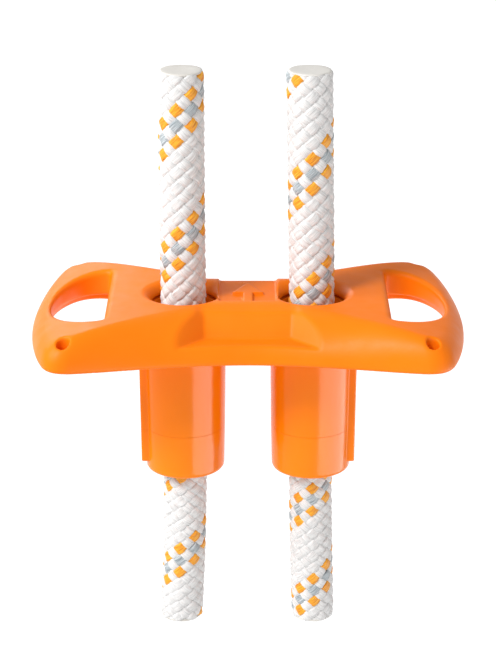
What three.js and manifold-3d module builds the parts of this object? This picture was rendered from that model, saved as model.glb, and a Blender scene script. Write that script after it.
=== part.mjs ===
// A double-rope grab. A moulded yoke plate carries two sleeves, and a rope runs up through each sleeve.
// In every sleeve three sprung wedge jaws sit in a tapered cup and close on the rope under load.
// Millimetres, +Z up. The origin is on the deck, midway between the two ropes, and the front is -Y.

import * as THREE from 'three';
import { mergeVertices } from 'three/addons/utils/BufferGeometryUtils.js';
import Module from 'manifold-3d';

const wasm = await Module();
wasm.setup();

// Driving dimensions

const GAP = 0.3;
const ROPE_X = 15.3;
const FACETS = 28;
const SMALL_FACETS = 12;
// Cutting shapes reach well past the plate on both sides.
const FAR_BELOW = -20;
const FAR_ABOVE = 10;
const FAR_OUT = 40;

const YOKE = {
  tipX: 51.3,
  tipRimZ: -8.7,
  rimArch: 1.8,
  tipDrop: 5.2,
  frontShoulder: 15,
  tipShoulder: 5.3,
  frontPower: 1.75,
  tipPower: 2.35,
  spineShare: 0.62,
  deck: 3,
  wall: 2.4,
  cavityX: 30.5,
  coverY: 19.6,
};
// The rim's front right quarter as curves: the tip's end, the corner and the long side.
const RIM = [
  [[51.3, 0], [51.3, -9.5], [50, -19.5], [47.6, -26.6]],
  [[47.6, -26.6], [46.4, -30.4], [44.4, -31.6], [41, -31]],
  [[41, -31], [31, -28.6], [17, -22.6], [0, -22.6]],
];

const SLOT = {
  innerX: 33.4,
  outerX: 46.9,
  cornerX: 35,
  cornerY: 17.2,
  cornerR: 1.6,
  bow: [[41.2, 17.4], [46.7, 10.5]],
  reliefTop: -7.2,
  reliefWiden: 1.16,
};
const MOUTH = { flareR: 9.5, throatR: 7.7, flareDepth: 3 };
const RECESS = { halfX: 6.9, frontY: -6.5, backY: 13, depth: 1.6 };
const ARROW = { tipY: 9.4, headY: 1.8, footY: -5.2, headHalfX: 3.8, shaftHalfX: 1.2, rise: 0.6, root: 0.2 };
// A scoop's face runs down from the brow to the sill, and its flanks open outwards from the face.
const SCOOP = {
  browY: 9,
  browHalfX: 11.8,
  browFall: 1 / 3,
  faceTopY: 11.18,
  footY: 16.2,
  sillZ: -6.1,
  topHalfX: 10.45,
  footHalfX: 10.1,
  outY: 26,
  flare: 0.955,
  skin: 1.7,
};
const CORNER_HOLE = { x: 42, y: 27.4, r: 1.5, floorZ: -7.7, nibY: 28.6, nibR: 0.6, nibTop: -5.8 };

const SLEEVE = {
  topR: 10.05,
  seamR: 9.75,
  boreR: 8.9,
  flangeR: 12.4,
  flangeTop: -5.1,
  flangeBottom: -7.4,
  seamZ: -33.75,
};
const RIB = { halfY: 4.4, topOut: 10.8, bottomOut: 10.5, topZ: -10.3, bottomZ: -42.5 };
const NOSE = {
  bottomR: 9.5,
  bottomZ: -45,
  edgeR: 2.4,
  floorZ: -43.2,
  spigotTop: -30.9,
  boreR: 7.9,
  ropeR: 6,
  lipR: 0.6,
};
const BUSH = { flangeR: 11, top: -3.5, flangeBottom: -4.8, outerR: 8.6, bottom: -15.7, throatR: 5.9 };
const CUP = { top: -16, bottom: -30.6, outerR: 8.6, topBore: 7.05, bottomBore: 7.75 };
const JAW = { top: -17.5, bottom: -29.4, boreR: 5.75, count: 3, gapDeg: 16, grooves: 4, grooveDepth: 0.35 };
const PUSHER = { top: -29.7, bottom: -32.2, outerR: 7.45, boreR: 5.95 };
const SPRING = { meanR: 6.95, wireR: 0.42, turns: 4.5, top: -32.6, bottom: -42.8 };
const COVER = {
  top: -7.7,
  bottom: -9.9,
  halfX: 29.6,
  endHalfY: 18.9,
  midHalfY: 12.6,
  notchX: 18.2,
  notchSlope: 1.8,
  sleeveHoleR: 10.45,
};
const SCREW = {
  headR: 2.3,
  headH: 1.2,
  headEdge: 0.3,
  shankR: 1.2,
  holeR: 1.5,
  bossR: 2.8,
  tip: -4.4,
  tipTaper: 0.8,
  boreTop: -4,
  sink: 0.1,
  crossReach: 1.4,
  crossHalf: 0.35,
  crossDepth: 0.5,
};
const SCREW_PLACES = [
  ['front_left', -26.2, -14.4],
  ['front_centre', 0, -9.2],
  ['front_right', 26.2, -14.4],
  ['back_left', -26.2, 14.4],
  ['back_centre', 0, 9.2],
  ['back_right', 26.2, 14.4],
];

// A rope runs straight through its sleeve. Above the deck both lean a little, and below they spread.
// The spread stays inside the sleeve's bores for as much rope as the slide's full travel draws in.
const ROPE_R = 5.4;
const ROPE_SIDES = 12;
const ROPE_ROUTES = {
  left: [[-15.5, 54], [-15.5, 30], [-15.45, 12], [-15.4, 0], [-15.3, -22], [-15.3, -44], [-15.5, -56],
    [-15.9, -70], [-16.7, -86]],
  right: [[14.2, 54], [14.65, 30], [14.98, 12], [15.15, 0], [15.3, -22], [15.3, -44], [15.45, -56],
    [15.8, -70], [16.25, -86]],
};

// Materials

const finish = (color, roughness, metalness) =>
  new THREE.MeshStandardMaterial({ color, roughness, metalness });
const orange = () => finish(0xf07818, 0.45, 0);
const steel = () => finish(0xb8bcc2, 0.3, 1);
const ropeWhite = () => finish(0xf2eeea, 0.8, 0);

// Solids

// A closed mesh as a solid, whichever way round its faces were listed.
function solid(geometry) {
  const bare = geometry.clone();
  bare.deleteAttribute('normal');
  bare.deleteAttribute('uv');
  const merged = mergeVertices(bare, 1e-4);
  const corners = merged.index.array;
  const forward = [];
  for (let i = 0; i < corners.length; i += 3) {
    const [a, b, c] = corners.slice(i, i + 3);
    if (a !== b && b !== c && c !== a) {
      forward.push(a, b, c);
    }
  }
  const points = new Float32Array(merged.attributes.position.array);
  const build = (index) => new wasm.Manifold(
    new wasm.Mesh({ numProp: 3, vertProperties: points, triVerts: new Uint32Array(index) }),
  );
  const shape = build(forward);
  return shape.volume() < 0 ? build(forward.reverse()) : shape;
}

function geometryOf(shape) {
  const mesh = shape.getMesh();
  const geometry = new THREE.BufferGeometry();
  geometry.setAttribute('position', new THREE.BufferAttribute(mesh.vertProperties, 3));
  geometry.setIndex(new THREE.BufferAttribute(mesh.triVerts, 1));
  geometry.computeVertexNormals();
  return geometry;
}

const joinAll = (first, others) => others.reduce((whole, other) => whole.add(other), first);
const cutAll = (first, others) => others.reduce((whole, other) => whole.subtract(other), first);

// A solid of revolution about a vertical axis, from a closed outline of [radius, height] points.
function turned(outline, x = 0, y = 0, segments = FACETS) {
  const points = [...outline, outline[0]].map(([r, z]) => new THREE.Vector2(r, z));
  const geometry = new THREE.LatheGeometry(points, segments);
  geometry.rotateX(Math.PI / 2);
  geometry.translate(x, y, 0);
  return solid(geometry);
}

const rod = (r, low, high, x = 0, y = 0, segments = SMALL_FACETS) =>
  turned([[0, low], [r, low], [r, high], [0, high]], x, y, segments);

function block(lowX, highX, lowY, highY, lowZ, highZ) {
  const geometry = new THREE.BoxGeometry(highX - lowX, highY - lowY, highZ - lowZ);
  geometry.translate((lowX + highX) / 2, (lowY + highY) / 2, (lowZ + highZ) / 2);
  return solid(geometry);
}

function prism(outline, low, high, curveSegments = 8) {
  const isShape = outline instanceof THREE.Shape;
  const shape = isShape ? outline : new THREE.Shape(outline.map((p) => new THREE.Vector2(...p)));
  const depth = high - low;
  const geometry = new THREE.ExtrudeGeometry(shape, { depth, bevelEnabled: false, curveSegments });
  geometry.translate(0, 0, low);
  return solid(geometry);
}

// A body between a top grid and a bottom grid of the same layout, where the rows' ends meet.
function loft(rows) {
  const width = rows[0].length;
  const positions = rows.flat(2);
  const index = [];
  for (let i = 0; i + 1 < rows.length; i += 1) {
    for (let j = 0; j < width; j += 1) {
      const next = (j + 1) % width;
      const [a, b] = [i * width + j, i * width + next];
      const [c, d] = [(i + 1) * width + j, (i + 1) * width + next];
      index.push(a, c, b, b, c, d);
    }
  }
  const geometry = new THREE.BufferGeometry();
  geometry.setAttribute('position', new THREE.BufferAttribute(new Float32Array(positions), 3));
  geometry.setIndex(index);
  return solid(geometry);
}

// The yoke plate's outer form

const share = (x) => Math.min(1, Math.abs(x) / YOKE.tipX);
const deckZ = (x) => -YOKE.tipDrop * share(x) ** 5;
const rimZ = (x) => YOKE.tipRimZ - YOKE.rimArch * (1 - share(x) ** 2);

// How far the rounded shoulder reaches in from the rim, and how square it is.
const shoulderAt = (x) =>
  YOKE.tipShoulder + (YOKE.frontShoulder - YOKE.tipShoulder) * (1 - share(x) ** 2.6) ** 1.8;
const powerAt = (x) => YOKE.frontPower + (YOKE.tipPower - YOKE.frontPower) * share(x) ** 4;

// The rim from the tip round the corner to the middle of the front.
function rimQuarter() {
  const path = new THREE.Path();
  path.moveTo(...RIM[0][0]);
  for (const [, ...controls] of RIM) {
    path.bezierCurveTo(...controls.flat());
  }
  return path;
}

// One section of the plate for each rim point: over the shoulder, across the deck and down the other side.
function plateSections(stations, steps, inset, sink) {
  const quarter = rimQuarter().getSpacedPoints(stations);
  const mirrored = quarter.slice(0, -1).reverse().map((p) => new THREE.Vector2(-p.x, p.y));
  return [...quarter, ...mirrored].map((rim) => {
    const spine = new THREE.Vector2(rim.x * YOKE.spineShare, 0);
    const inward = spine.clone().sub(rim);
    const reach = inward.length();
    inward.normalize();
    const shoulder = shoulderAt(rim.x);
    const bend = 2 / powerAt(rim.x);
    const half = [];
    for (let k = 0; k <= steps; k += 1) {
      const angle = (Math.PI / 2) * (k / steps);
      const run = inset + (shoulder - inset) * (1 - Math.cos(angle) ** bend);
      const rise = Math.sin(angle) ** bend;
      half.push([Math.min(run, reach * 0.8), rise]);
    }
    half.push([reach * 0.9, 1], [reach, 1]);
    const front = half.map(([run, rise]) => {
      const p = rim.clone().addScaledVector(inward, run);
      const low = rimZ(rim.x) - sink;
      const high = deckZ(p.x) - sink;
      return [p.x, p.y, low + (high - low) * rise];
    });
    const back = front.slice(0, -1).reverse().map(([x, y, z]) => [x, -y, z]);
    return [...front, ...back];
  });
}

// The D-shaped slot at the right end: a straight inner edge and a bow. A relief is wider from front to back.
function slotOutline(widen = 1) {
  const { innerX, outerX, cornerX, cornerY, cornerR, bow } = SLOT;
  const [near, far] = bow;
  const y = cornerY * widen;
  const shape = new THREE.Shape();
  shape.moveTo(innerX, cornerR - y);
  shape.quadraticCurveTo(innerX, -y, cornerX, -y);
  shape.bezierCurveTo(near[0], -near[1] * widen, far[0], -far[1] * widen, outerX, 0);
  shape.bezierCurveTo(far[0], far[1] * widen, near[0], near[1] * widen, cornerX, y);
  shape.quadraticCurveTo(innerX, y, innerX, y - cornerR);
  shape.closePath();
  return shape;
}

const bothEnds = (shape) => [shape, shape.mirror([1, 0, 0])];
const bothFaces = (shape) => [shape, shape.mirror([0, 1, 0])];

const mouthCut = (x) =>
  turned(
    [
      [0, 2],
      [MOUTH.flareR + 1, 2],
      [MOUTH.flareR + 1, 0.3],
      [MOUTH.flareR, -0.15],
      [MOUTH.throatR + 0.75, -0.9],
      [MOUTH.throatR + 0.2, -1.9],
      [MOUTH.throatR, -MOUTH.flareDepth],
      [MOUTH.throatR, -YOKE.deck - 1],
      [0, -YOKE.deck - 1],
    ],
    x,
  );

// The finger scoop's space: a face that leans out to a sill, and two flanks that open outwards.
function scoopCut(grow) {
  const { faceTopY, footY, sillZ, topHalfX, footHalfX, outY, flare } = SCOOP;
  const row = (y, halfX, z) => {
    const half = halfX + grow;
    const wide = half + flare * (outY - y);
    const back = grow - y;
    return [[-half, back, z], [-wide, -outY, z], [wide, -outY, z], [half, back, z]];
  };
  return stack([row(faceTopY, topHalfX, 4), row(faceTopY, topHalfX, 0), row(footY, footHalfX, sillZ - grow)]);
}

// The shallow brow above a scoop's face, where the deck falls away.
function browCut() {
  const { browY, browHalfX, browFall, outY } = SCOOP;
  const low = -browFall * (outY - browY);
  const row = (z, y) => {
    const [left, right] = [-browHalfX, browHalfX];
    return [[left, -y, z], [left, -outY, z], [right, -outY, z], [right, -y, z]];
  };
  return stack([row(2, browY), row(0, browY), row(low, outY - 0.1)]);
}

// A body with flat sides through rows of four corners, listed from top to bottom.
function stack(rows) {
  const points = rows.flat();
  const positions = new Float32Array(points.flat());
  const index = [0, 1, 2, 0, 2, 3];
  const last = points.length - 4;
  for (let row = 0; row < last; row += 4) {
    for (let k = 0; k < 4; k += 1) {
      const [a, b] = [row + k, row + ((k + 1) % 4)];
      index.push(a, a + 4, b, b, a + 4, b + 4);
    }
  }
  index.push(last, last + 2, last + 1, last, last + 3, last + 2);
  const geometry = new THREE.BufferGeometry();
  geometry.setAttribute('position', new THREE.BufferAttribute(positions, 3));
  geometry.setIndex(index);
  return solid(geometry);
}

// A plain arrow that says which way is up the rope.
function arrow() {
  const { tipY, headY, footY, headHalfX, shaftHalfX, rise, root } = ARROW;
  const right = [[headHalfX, headY], [shaftHalfX, headY], [shaftHalfX, footY]];
  const left = right.map(([x, y]) => [-x, y]).reverse();
  return prism([[0, tipY], ...right, ...left], -RECESS.depth - root, -RECESS.depth + rise);
}

function yokeShell() {
  const outer = loft(plateSections(20, 6, 0, 0));
  const underside = loft(plateSections(12, 4, YOKE.wall, YOKE.deck));
  const { cavityX, coverY } = YOKE;
  const core = block(-cavityX, cavityX, -FAR_OUT, FAR_OUT, FAR_BELOW, FAR_ABOVE);
  const below = block(-cavityX, cavityX, -coverY, coverY, FAR_BELOW, COVER.top + 0.2);
  const scoopSkin = bothFaces(scoopCut(SCOOP.skin));
  const cavity = cutAll(underside.add(below).intersect(core), scoopSkin);
  const bosses = SCREW_PLACES.map(([, x, y]) => rod(SCREW.bossR, COVER.top + GAP, -2, x, y));
  const pilots = SCREW_PLACES.map(([, x, y]) => rod(SCREW.holeR, FAR_BELOW, SCREW.boreTop, x, y));
  const slots = bothEnds(prism(slotOutline(), FAR_BELOW, FAR_ABOVE));
  const reliefs = bothEnds(prism(slotOutline(SLOT.reliefWiden), FAR_BELOW, SLOT.reliefTop));
  const mouths = [mouthCut(ROPE_X), mouthCut(-ROPE_X)];
  const recess = block(-RECESS.halfX, RECESS.halfX, RECESS.frontY, RECESS.backY, -RECESS.depth, FAR_ABOVE);
  const { x: holeX, y: holeY, r: holeR, floorZ, nibY, nibR, nibTop } = CORNER_HOLE;
  const corners = [[-1, -1], [1, -1], [-1, 1], [1, 1]];
  const holes = corners.map(([sx, sy]) => rod(holeR, floorZ, FAR_ABOVE, sx * holeX, sy * holeY));
  const nibs = corners.map(([sx, sy]) => rod(nibR, floorZ - 0.3, nibTop, sx * holeX, sy * nibY, 8));
  const hollow = outer.subtract(cavity);
  const bossed = joinAll(hollow, bosses);
  const scoops = [...bothFaces(scoopCut(0)), ...bothFaces(browCut())];
  const cut = cutAll(bossed, [...pilots, ...slots, ...reliefs, ...mouths, recess, ...holes, ...scoops]);
  return joinAll(cut, [arrow(), ...nibs]);
}

// The cover that closes the yoke from below. It is narrower between the finger scoops.
function bottomCover() {
  const { halfX, endHalfY, midHalfY, notchX, notchSlope, sleeveHoleR } = COVER;
  const backRight = [[halfX, endHalfY], [notchX + notchSlope, endHalfY], [notchX, midHalfY]];
  const backLeft = backRight.map(([x, y]) => [-x, y]).reverse();
  const back = [...backRight, ...backLeft];
  const front = back.map(([x, y]) => [-x, -y]);
  const plate = prism([...back, ...front], COVER.bottom, COVER.top);
  const sleeves = [-1, 1].map((side) => rod(sleeveHoleR, FAR_BELOW, 0, side * ROPE_X, 0, FACETS));
  const screwHoles = SCREW_PLACES.map(([, x, y]) => rod(SCREW.holeR, FAR_BELOW, 0, x, y));
  const seatZ = COVER.bottom + SCREW.headH;
  const seats = SCREW_PLACES.map(([, x, y]) => rod(SCREW.headR + GAP, FAR_BELOW, seatZ, x, y));
  return cutAll(plate, [...sleeves, ...screwHoles, ...seats]);
}

// A screw seen from below: a head with a chamfer and a cross recess, and a shank that ends in a point.
function coverScrew(x, y) {
  const { headR, headH, headEdge, shankR, tip, tipTaper, sink, crossReach, crossHalf, crossDepth } = SCREW;
  const face = COVER.bottom + sink;
  const seat = COVER.bottom + headH - GAP;
  const body = turned(
    [
      [0, face],
      [headR - headEdge, face],
      [headR, face + headEdge],
      [headR, seat],
      [shankR, seat],
      [shankR, tip - tipTaper],
      [0, tip],
    ],
    x,
    y,
    SMALL_FACETS,
  );
  const roof = face + crossDepth;
  const bar = (halfX, halfY) => block(x - halfX, x + halfX, y - halfY, y + halfY, FAR_BELOW, roof);
  return cutAll(body, [bar(crossReach, crossHalf), bar(crossHalf, crossReach)]);
}

// The flat rib down a sleeve's outer side, between two heights.
function rib(side, low, high) {
  const out = (z) =>
    RIB.topOut + (RIB.bottomOut - RIB.topOut) * ((RIB.topZ - z) / (RIB.topZ - RIB.bottomZ));
  const row = (z) => [[5, -RIB.halfY, z], [out(z), -RIB.halfY, z], [out(z), RIB.halfY, z], [5, RIB.halfY, z]];
  const shape = stack([row(high), row(low)]).translate([ROPE_X, 0, 0]);
  return side > 0 ? shape : shape.mirror([1, 0, 0]);
}

function sleeve(side) {
  const { topR, seamR, boreR, flangeR, flangeTop, flangeBottom, seamZ } = SLEEVE;
  const x = side * ROPE_X;
  const tube = turned(
    [
      [boreR, seamZ],
      [seamR, seamZ],
      [topR, flangeBottom - 0.5],
      [topR + 0.5, flangeBottom],
      [flangeR, flangeBottom],
      [flangeR, flangeTop],
      [boreR, flangeTop],
    ],
    x,
  );
  const bore = rod(boreR, seamZ - 1, flangeTop + 1, x, 0, FACETS);
  return tube.add(rib(side, seamZ, RIB.topZ)).subtract(bore);
}

function noseCap(side) {
  const { bottomR, bottomZ, edgeR, floorZ, spigotTop, boreR, ropeR, lipR } = NOSE;
  const x = side * ROPE_X;
  const top = SLEEVE.seamZ - GAP;
  const edge = [0, 0.25, 0.5, 0.75, 1].map((t) => {
    const angle = (Math.PI / 2) * t;
    return [bottomR - edgeR + edgeR * Math.sin(angle), bottomZ + edgeR - edgeR * Math.cos(angle)];
  });
  const shell = turned(
    [
      [ropeR + lipR, bottomZ],
      ...edge,
      [SLEEVE.seamR - 0.03, top],
      [SLEEVE.boreR - GAP, top],
      [SLEEVE.boreR - GAP, spigotTop],
      [boreR, spigotTop],
      [boreR, floorZ],
      [ropeR, floorZ],
      [ropeR, bottomZ + lipR],
    ],
    x,
  );
  const bore = rod(boreR, floorZ, spigotTop + 1, x, 0, FACETS);
  return shell.add(rib(side, RIB.bottomZ, top)).subtract(bore);
}

function guideBush(side) {
  const { flangeR, top, flangeBottom, outerR, bottom, throatR } = BUSH;
  return turned(
    [
      [throatR + 1, bottom],
      [outerR, bottom],
      [outerR, flangeBottom],
      [flangeR, flangeBottom],
      [flangeR, top],
      [MOUTH.throatR, top],
      [MOUTH.throatR - 0.5, top - 2.5],
      [throatR + 0.4, top - 6],
      [throatR, top - 8.4],
      [throatR, bottom + 1],
    ],
    side * ROPE_X,
  );
}

function taperCup(side) {
  const { top, bottom, outerR, topBore, bottomBore } = CUP;
  return turned([[bottomBore, bottom], [outerR, bottom], [outerR, top], [topBore, top]], side * ROPE_X);
}

function cupBore(z) {
  const { top, bottom, topBore, bottomBore } = CUP;
  return topBore + (bottomBore - topBore) * ((top - z) / (top - bottom));
}

// One jaw: a wedge that fills a third of the cup, with gripping grooves along its bore.
function jaw(side, number) {
  const { top, bottom, boreR, count, gapDeg, grooves, grooveDepth } = JAW;
  const x = side * ROPE_X;
  const pitch = (top - bottom) / grooves;
  const teeth = [];
  for (let k = 0; k < grooves; k += 1) {
    const low = bottom + k * pitch;
    const grooveR = boreR + grooveDepth;
    teeth.push([boreR, low + pitch * 0.95], [grooveR, low + pitch * 0.7], [boreR, low + pitch * 0.2]);
  }
  teeth.sort((a, b) => b[1] - a[1]);
  const whole = turned(
    [[boreR, bottom], [cupBore(bottom) - GAP, bottom], [cupBore(top) - GAP, top], [boreR, top], ...teeth],
    x,
  );
  const half = THREE.MathUtils.degToRad(180 / count - gapDeg / 2);
  const middle = THREE.MathUtils.degToRad(jawDeg(side, number));
  const reach = 30;
  const corner = (angle) => [x + reach * Math.cos(middle + angle), reach * Math.sin(middle + angle)];
  const wedge = prism([[x, 0], corner(-half), corner(0), corner(half)], bottom - 1, top + 1);
  return whole.intersect(wedge);
}

// Jaw 1 points outwards, and the others follow at equal angles.
const jawDeg = (side, number) => (side > 0 ? 0 : 180) + ((number - 1) * 360) / JAW.count;

const pusherRing = (side) =>
  turned(
    [
      [PUSHER.boreR, PUSHER.bottom],
      [PUSHER.outerR, PUSHER.bottom],
      [PUSHER.outerR, PUSHER.top - 0.3],
      [PUSHER.outerR - 0.3, PUSHER.top],
      [PUSHER.boreR, PUSHER.top],
    ],
    side * ROPE_X,
  );

class Helix extends THREE.Curve {
  constructor(radius, low, high, turns) {
    super();
    Object.assign(this, { radius, low, high, turns });
  }

  getPoint(t) {
    const angle = t * this.turns * Math.PI * 2;
    const z = this.low + (this.high - this.low) * t;
    return new THREE.Vector3(this.radius * Math.cos(angle), this.radius * Math.sin(angle), z);
  }
}

// A round section of a few sides, for wire and rope.
function roundSection(radius, sides) {
  const points = [];
  for (let k = 0; k < sides; k += 1) {
    const angle = (k / sides) * Math.PI * 2;
    points.push(new THREE.Vector2(radius * Math.cos(angle), radius * Math.sin(angle)));
  }
  return new THREE.Shape(points);
}

function tube(curve, radius, sides, steps) {
  const options = { extrudePath: curve, steps, bevelEnabled: false };
  return new THREE.ExtrudeGeometry(roundSection(radius, sides), options);
}

function spring(side) {
  const { meanR, wireR, turns, top, bottom } = SPRING;
  const curve = new Helix(meanR, bottom + wireR, top - wireR, turns);
  return solid(tube(curve, wireR, 6, turns * 10)).translate([side * ROPE_X, 0, 0]);
}

function rope(name) {
  const points = ROPE_ROUTES[name].map(([x, z]) => new THREE.Vector3(x, 0, z));
  const curve = new THREE.CatmullRomCurve3(points);
  return solid(tube(curve, ROPE_R, ROPE_SIDES, 12));
}

// The assembly

const grab = new THREE.Group();
grab.name = 'rope_grab';

function place(name, shape, material) {
  const mesh = new THREE.Mesh(geometryOf(shape), material);
  mesh.name = name;
  grab.add(mesh);
}

place('yoke_shell', yokeShell(), orange());
place('bottom_cover', bottomCover(), orange());
for (const [where, x, y] of SCREW_PLACES) {
  place(`cover_screw_${where}`, coverScrew(x, y), steel());
}
for (const [name, side] of [['left', -1], ['right', 1]]) {
  place(`sleeve_${name}`, sleeve(side), orange());
  place(`nose_cap_${name}`, noseCap(side), orange());
  place(`guide_bush_${name}`, guideBush(side), orange());
  place(`taper_cup_${name}`, taperCup(side), steel());
  for (let number = 1; number <= JAW.count; number += 1) {
    place(`jaw_${name}_${number}`, jaw(side, number), steel());
  }
  place(`pusher_ring_${name}`, pusherRing(side), steel());
  place(`spring_${name}`, spring(side), steel());
  place(`rope_${name}`, rope(name), ropeWhite());
}

export default grab;
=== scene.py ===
"""A double-rope grab: a moulded orange yoke with two sleeves, and a braided rope through each sleeve.

Shapes are worked out in millimetres and turned into metres when they become a mesh.
The origin is on the deck, midway between the ropes. The front is -Y and up is +Z.
"""

import math

import bpy
import numpy as np
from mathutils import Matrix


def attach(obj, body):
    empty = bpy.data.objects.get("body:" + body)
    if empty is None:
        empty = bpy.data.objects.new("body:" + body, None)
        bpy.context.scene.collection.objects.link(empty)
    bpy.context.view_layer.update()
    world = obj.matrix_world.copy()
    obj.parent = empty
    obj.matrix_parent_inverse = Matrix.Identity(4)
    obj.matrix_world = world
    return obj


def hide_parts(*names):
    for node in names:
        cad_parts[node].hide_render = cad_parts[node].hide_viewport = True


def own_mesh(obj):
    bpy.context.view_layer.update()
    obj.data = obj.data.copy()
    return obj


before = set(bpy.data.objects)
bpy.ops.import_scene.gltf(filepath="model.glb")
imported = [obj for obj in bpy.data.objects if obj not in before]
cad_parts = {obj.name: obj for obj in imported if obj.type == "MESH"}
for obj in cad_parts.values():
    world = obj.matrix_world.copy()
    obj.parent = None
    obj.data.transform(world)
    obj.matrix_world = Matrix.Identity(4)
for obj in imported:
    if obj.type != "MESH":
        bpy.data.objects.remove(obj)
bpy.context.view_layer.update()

MM = 0.001
TURN = 2 * math.pi
SIDES = (("left", -1), ("right", 1))

ROPE_X = 15.3
ROPE_TOP, ROPE_LOW = 54.0, -86.0
ROUTE_Z = np.array((-86, -70, -56, -44, -22, 0, 12, 30, 54), dtype=float)
ROUTE_X = {
    "left": np.array((-16.7, -15.9, -15.5, -15.3, -15.3, -15.4, -15.45, -15.5, -15.5)),
    "right": np.array((16.25, 15.8, 15.45, 15.3, 15.3, 15.15, 14.98, 14.65, 14.2)),
}


# Meshes


def mesh_object(name, points, faces, smooth=True):
    """An object from points in millimetres."""
    mesh = bpy.data.meshes.new(name)
    mesh.from_pydata((np.asarray(points, dtype=float) * MM).tolist(), [], [list(f) for f in faces])
    mesh.update()
    mesh.polygons.foreach_set("use_smooth", np.full(len(mesh.polygons), smooth))
    piece = bpy.data.objects.new(name, mesh)
    bpy.context.scene.collection.objects.link(piece)
    return piece


def settle(piece, body, slot, material, *nodes):
    """Puts a piece on its body, in the place of CAD nodes, with its finish."""
    if material is not None:
        piece.data.materials.append(material)
    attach(piece, body)
    if nodes:
        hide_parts(*nodes)
    return piece


def ring_faces(rings, around, closed=False):
    """Quads between neighbouring rings of points."""
    k = np.arange(rings if closed else rings - 1)[:, None]
    j = np.arange(around)[None, :]
    after = (j + 1) % around
    up = (k + 1) % rings
    quads = np.stack([k * around + j, k * around + after, up * around + after, up * around + j], axis=-1)
    return quads.reshape(-1, 4)


def rounded(outline, radius, steps=4):
    """A closed outline with its corners rounded off. A point may carry its own radius as a third number."""
    points = [np.array(p[:2], dtype=float) for p in outline]
    result = []
    for k, corner in enumerate(points):
        r = outline[k][2] if len(outline[k]) > 2 else radius
        before, after = points[k - 1] - corner, points[(k + 1) % len(points)] - corner
        to_before, to_after = before / np.linalg.norm(before), after / np.linalg.norm(after)
        cosine = float(np.clip(to_before @ to_after, -1, 1))
        half = math.acos(cosine) / 2
        if r <= 0 or half > 1.55:
            result.append(corner)
            continue
        back = min(r / math.tan(half), 0.45 * np.linalg.norm(before), 0.45 * np.linalg.norm(after))
        start, end = corner + to_before * back, corner + to_after * back
        result.append(start + to_before * back * 0.1)
        for t in np.linspace(0, 1, steps + 1):
            result.append((1 - t) ** 2 * start + 2 * t * (1 - t) * corner + t**2 * end)
        result.append(end + to_after * back * 0.1)
    return np.array(result)


def turned(name, outline, x, radius=0.25, segments=96):
    """A ring turned about a vertical axis from a closed outline of (radius, height) points."""
    profile = rounded(outline, radius)
    angle = np.arange(segments) * TURN / segments
    rings = np.stack(
        [
            x + profile[:, :1] * np.cos(angle),
            profile[:, :1] * np.sin(angle),
            np.repeat(profile[:, 1:], segments, axis=1),
        ],
        axis=-1,
    )
    return mesh_object(name, rings.reshape(-1, 3), ring_faces(len(profile), segments, closed=True))


# Fields: a solid is where a function of place is below zero


def soft_max(a, b, blend):
    """The larger of two fields, with the edge between them rounded."""
    overlap = np.maximum(blend - np.abs(a - b), 0)
    return np.maximum(a, b) + overlap**2 / (4 * blend)


def soft_min(a, b, blend):
    return -soft_max(-a, -b, blend)


def nets(field, low, high, cell):
    """The points and quads of a field's surface inside a box."""
    axes = [np.arange(lo - cell, hi + 1.5 * cell, cell) for lo, hi in zip(low, high)]
    grid = np.meshgrid(*axes, indexing="ij")
    value = field(*grid)
    inside = value < 0
    near = [slice(None, -1), slice(1, None)]
    corners = [(a, b, c) for a in (0, 1) for b in (0, 1) for c in (0, 1)]
    filled = sum(inside[near[a], near[b], near[c]].astype(np.int8) for a, b, c in corners)
    mixed = (filled > 0) & (filled < 8)
    number = np.full(mixed.shape, -1)
    number[mixed] = np.arange(mixed.sum())
    cells = np.argwhere(mixed)
    total = np.zeros((len(cells), 3))
    crossings = np.zeros(len(cells))
    for axis in range(3):
        for start in (c for c in corners if c[axis] == 0):
            end = tuple(1 if k == axis else start[k] for k in range(3))
            a = value[tuple((cells + start).T)]
            b = value[tuple((cells + end).T)]
            crosses = (a < 0) != (b < 0)
            share = np.where(crosses, a / np.where(crosses, a - b, 1), 0)
            point = np.tile(np.array(start, dtype=float), (len(cells), 1))
            point[:, axis] = share
            total += point * crosses[:, None]
            crossings += crosses
    points = (cells + total / crossings[:, None]) * cell + [axis[0] for axis in axes]
    return points, net_faces(inside, number)


def net_faces(inside, number):
    """One quad across each grid line that passes through the surface."""
    quads = []
    for axis in range(3):
        u, v = (axis + 1) % 3, (axis + 2) % 3
        ahead = [slice(None)] * 3
        behind = [slice(None)] * 3
        ahead[axis], behind[axis] = slice(1, None), slice(None, -1)
        for other in (u, v):
            ahead[other] = behind[other] = slice(1, -1)
        first, second = inside[tuple(behind)], inside[tuple(ahead)]
        for changes, flip in ((first & ~second, False), (~first & second, True)):
            place = np.argwhere(changes)
            shifts = []
            for du, dv in ((0, 0), (1, 0), (1, 1), (0, 1)):
                cell = place.copy()
                cell[:, u] += du
                cell[:, v] += dv
                shifts.append(number[tuple(cell.T)])
            quad = np.stack(shifts[::-1] if flip else shifts, axis=-1)
            quads.append(quad)
    return np.concatenate(quads)


def onto_surface(field, points, rounds=3):
    """Moves points along the field's slope until they lie on its surface."""
    step = 0.01
    for _ in range(rounds):
        x, y, z = points.T
        value = field(x, y, z)
        slope = np.stack(
            [
                field(x + step, y, z) - field(x - step, y, z),
                field(x, y + step, z) - field(x, y - step, z),
                field(x, y, z + step) - field(x, y, z - step),
            ],
            axis=-1,
        ) / (2 * step)
        steep = np.maximum((slope**2).sum(axis=1), 0.05)
        move = np.clip(value / steep, -0.3, 0.3)
        points = points - slope * move[:, None]
    return points


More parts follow.
